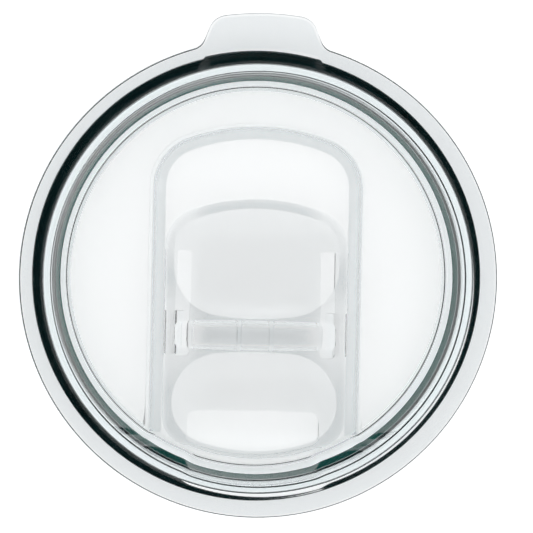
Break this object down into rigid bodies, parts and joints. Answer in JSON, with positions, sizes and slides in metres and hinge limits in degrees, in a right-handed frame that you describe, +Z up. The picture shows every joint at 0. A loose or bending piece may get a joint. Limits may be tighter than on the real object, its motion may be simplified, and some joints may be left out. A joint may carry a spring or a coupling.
{
  "type": "tumbler lid",
  "caption": "Clear press-in tumbler lid with a thumb tab, a seal ring under the flange and a slide closure over the drink opening.",
  "frame": {"origin": "on the lid's axis, level with the middle of the upper seal lip", "axes": "+Z up out of the tumbler, +Y towards the thumb tab, -Y towards the drink opening, +X completes the right hand"},
  "size_m": [0.1, 0.1055, 0.0158],
  "materials": {
    "clear_body": "clear polished plastic",
    "seal": "satin silicone",
    "clear_slider": "clear polished plastic"
  },
  "bodies": {
    "lid": {"lid_body": "clear_body", "rim_gasket": "seal"},
    "slider": {"slider": "clear_slider"}
  },
  "joints": [
    {"name": "slider_slide", "type": "slide", "parent": "lid", "child": "slider", "axis": [0, 1, 0], "range_m": [0, 0.0124]}
  ]
}
